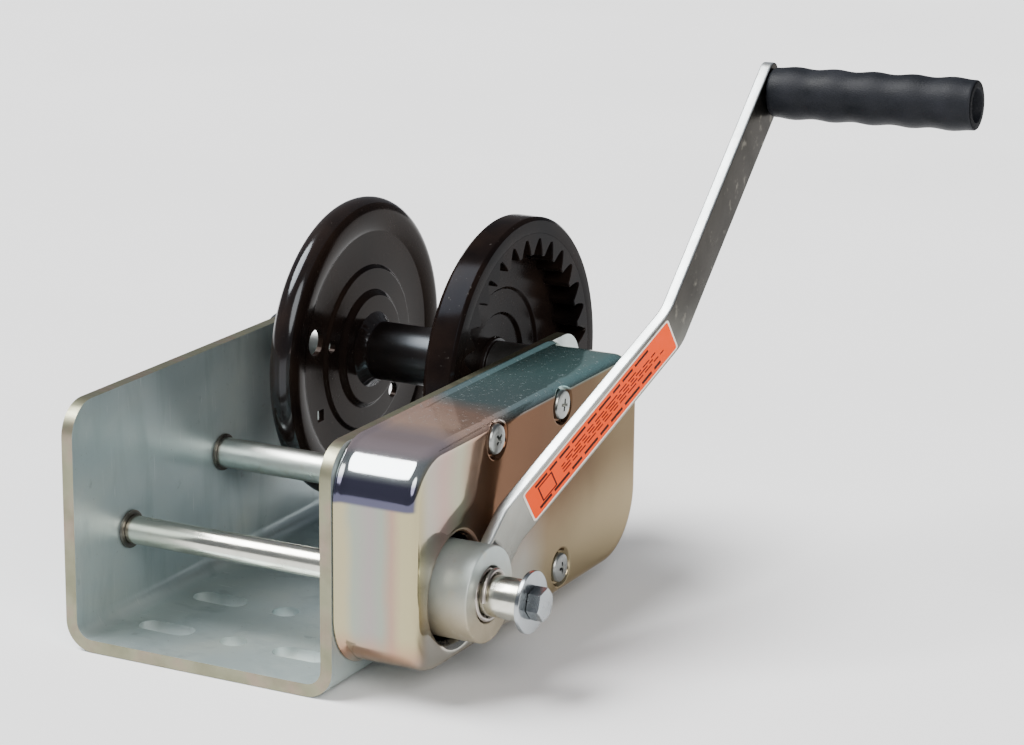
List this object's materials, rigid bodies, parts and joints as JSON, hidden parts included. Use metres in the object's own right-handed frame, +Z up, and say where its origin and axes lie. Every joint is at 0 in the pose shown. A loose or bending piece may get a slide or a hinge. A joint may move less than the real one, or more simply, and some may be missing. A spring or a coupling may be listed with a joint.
{
  "type": "boat trailer winch",
  "caption": "Hand winch with a plated U frame, black geared reel, drawn gear cover and offset crank with a black grip; brake type, for a boat trailer",
  "frame": {"origin": "underside of the base plate, at the middle of its width and length", "axes": "+X along the shafts toward the crank side, +Y to the back where the reel is, +Z up"},
  "size_m": [0.3565, 0.3252, 0.2631],
  "materials": {
    "frame_zinc": "clear zinc plating, satin",
    "crank_zinc": "clear zinc plating, satin bright",
    "fastener_zinc": "bright zinc plating",
    "shaft_steel": "zinc plated round bar",
    "inner_steel": "oiled machined steel",
    "spring_steel": "spring steel",
    "cover_zinc": "yellow zinc plating, glossy and iridescent",
    "reel_black": "gloss black paint",
    "bushing_bronze": "sintered bronze",
    "brake_lining": "moulded friction lining",
    "grip_rubber": "matt black, finely grained",
    "label_film": "orange vinyl film"
  },
  "bodies": {
    "base": {"frame": "frame_zinc", "drive_bushing_left": "bushing_bronze", "drive_bushing_right": "bushing_bronze", "mid_bushing_left": "bushing_bronze", "mid_bushing_right": "bushing_bronze", "final_bushing": "bushing_bronze", "idler_stud": "inner_steel", "idler_clip": "spring_steel", "reel_bolt": "fastener_zinc", "reel_nut": "fastener_zinc", "reel_washer": "fastener_zinc", "reel_spacer_left": "inner_steel", "reel_spacer_right": "inner_steel", "gear_cover": "cover_zinc", "cover_post_1": "inner_steel", "cover_screw_1": "fastener_zinc", "cover_post_2": "inner_steel", "cover_screw_2": "fastener_zinc", "cover_post_3": "inner_steel", "cover_screw_3": "fastener_zinc", "cover_post_4": "inner_steel", "cover_screw_4": "fastener_zinc", "pawl_pin": "inner_steel", "pawl_spring": "spring_steel"},
    "crank": {"drive_shaft": "shaft_steel", "drive_clip": "spring_steel", "brake_plate": "inner_steel", "friction_disc_inner": "brake_lining", "friction_disc_outer": "brake_lining", "handle_hub": "crank_zinc", "hub_spring": "spring_steel", "end_sleeve": "shaft_steel", "end_washer": "fastener_zinc", "end_bolt": "fastener_zinc", "crank_arm": "crank_zinc", "arm_label": "label_film", "grip_pin": "fastener_zinc"},
    "ratchet": {"ratchet_wheel": "inner_steel"},
    "pawl_arm": {"pawl": "inner_steel"},
    "idler": {"idler_gear": "inner_steel"},
    "mid": {"mid_shaft": "shaft_steel", "mid_gear": "inner_steel", "mid_pinion": "inner_steel", "mid_clip_left": "spring_steel", "mid_clip_right": "spring_steel"},
    "final": {"final_shaft": "shaft_steel", "final_gear": "inner_steel", "final_clip": "spring_steel"},
    "reel": {"reel_flange": "reel_black", "reel_hub": "reel_black", "ring_gear": "reel_black", "reel_bushing_left": "bushing_bronze", "reel_bushing_right": "bushing_bronze"},
    "grip": {"hand_grip": "grip_rubber"}
  },
  "joints": [
    {"name": "crank_spin", "type": "hinge", "parent": "base", "child": "crank", "pos_m": [0, -0.0801, 0.0485], "axis": [1, 0, 0], "continuous": true},
    {"name": "idler_spin", "type": "hinge", "parent": "base", "child": "idler", "pos_m": [0, -0.04774, 0.06184], "axis": [1, 0, 0], "continuous": true},
    {"name": "mid_spin", "type": "hinge", "parent": "base", "child": "mid", "pos_m": [0, 0.0046, 0.0659], "axis": [1, 0, 0], "continuous": true},
    {"name": "final_spin", "type": "hinge", "parent": "base", "child": "final", "pos_m": [0, 0.05842, 0.07722], "axis": [1, 0, 0], "continuous": true},
    {"name": "reel_spin", "type": "hinge", "parent": "base", "child": "reel", "pos_m": [0, 0.089, 0.1065], "axis": [1, 0, 0], "continuous": true},
    {"name": "ratchet_spin", "type": "hinge", "parent": "base", "child": "ratchet", "pos_m": [0, -0.0801, 0.0485], "axis": [1, 0, 0], "continuous": true},
    {"name": "pawl_hinge", "type": "hinge", "parent": "base", "child": "pawl_arm", "pos_m": [0, -0.0651, 0.0915], "axis": [1, 0, 0], "range_deg": [-10, 0], "stiffness_Nm_per_rad": 0.1, "springref_deg": 8.59},
    {"name": "grip_spin", "type": "hinge", "parent": "crank", "child": "grip", "pos_m": [0.15712, 0.1813, 0.24692], "axis": [0.999, 0.0347, 0.0264], "continuous": true}
  ],
  "couplings": [
    {"joint": "idler_spin", "follows": "crank_spin", "ratio": -0.75},
    {"joint": "mid_spin", "follows": "crank_spin", "ratio": 0.46154},
    {"joint": "final_spin", "follows": "crank_spin", "ratio": -0.17308},
    {"joint": "reel_spin", "follows": "crank_spin", "ratio": -0.057692}
  ]
}
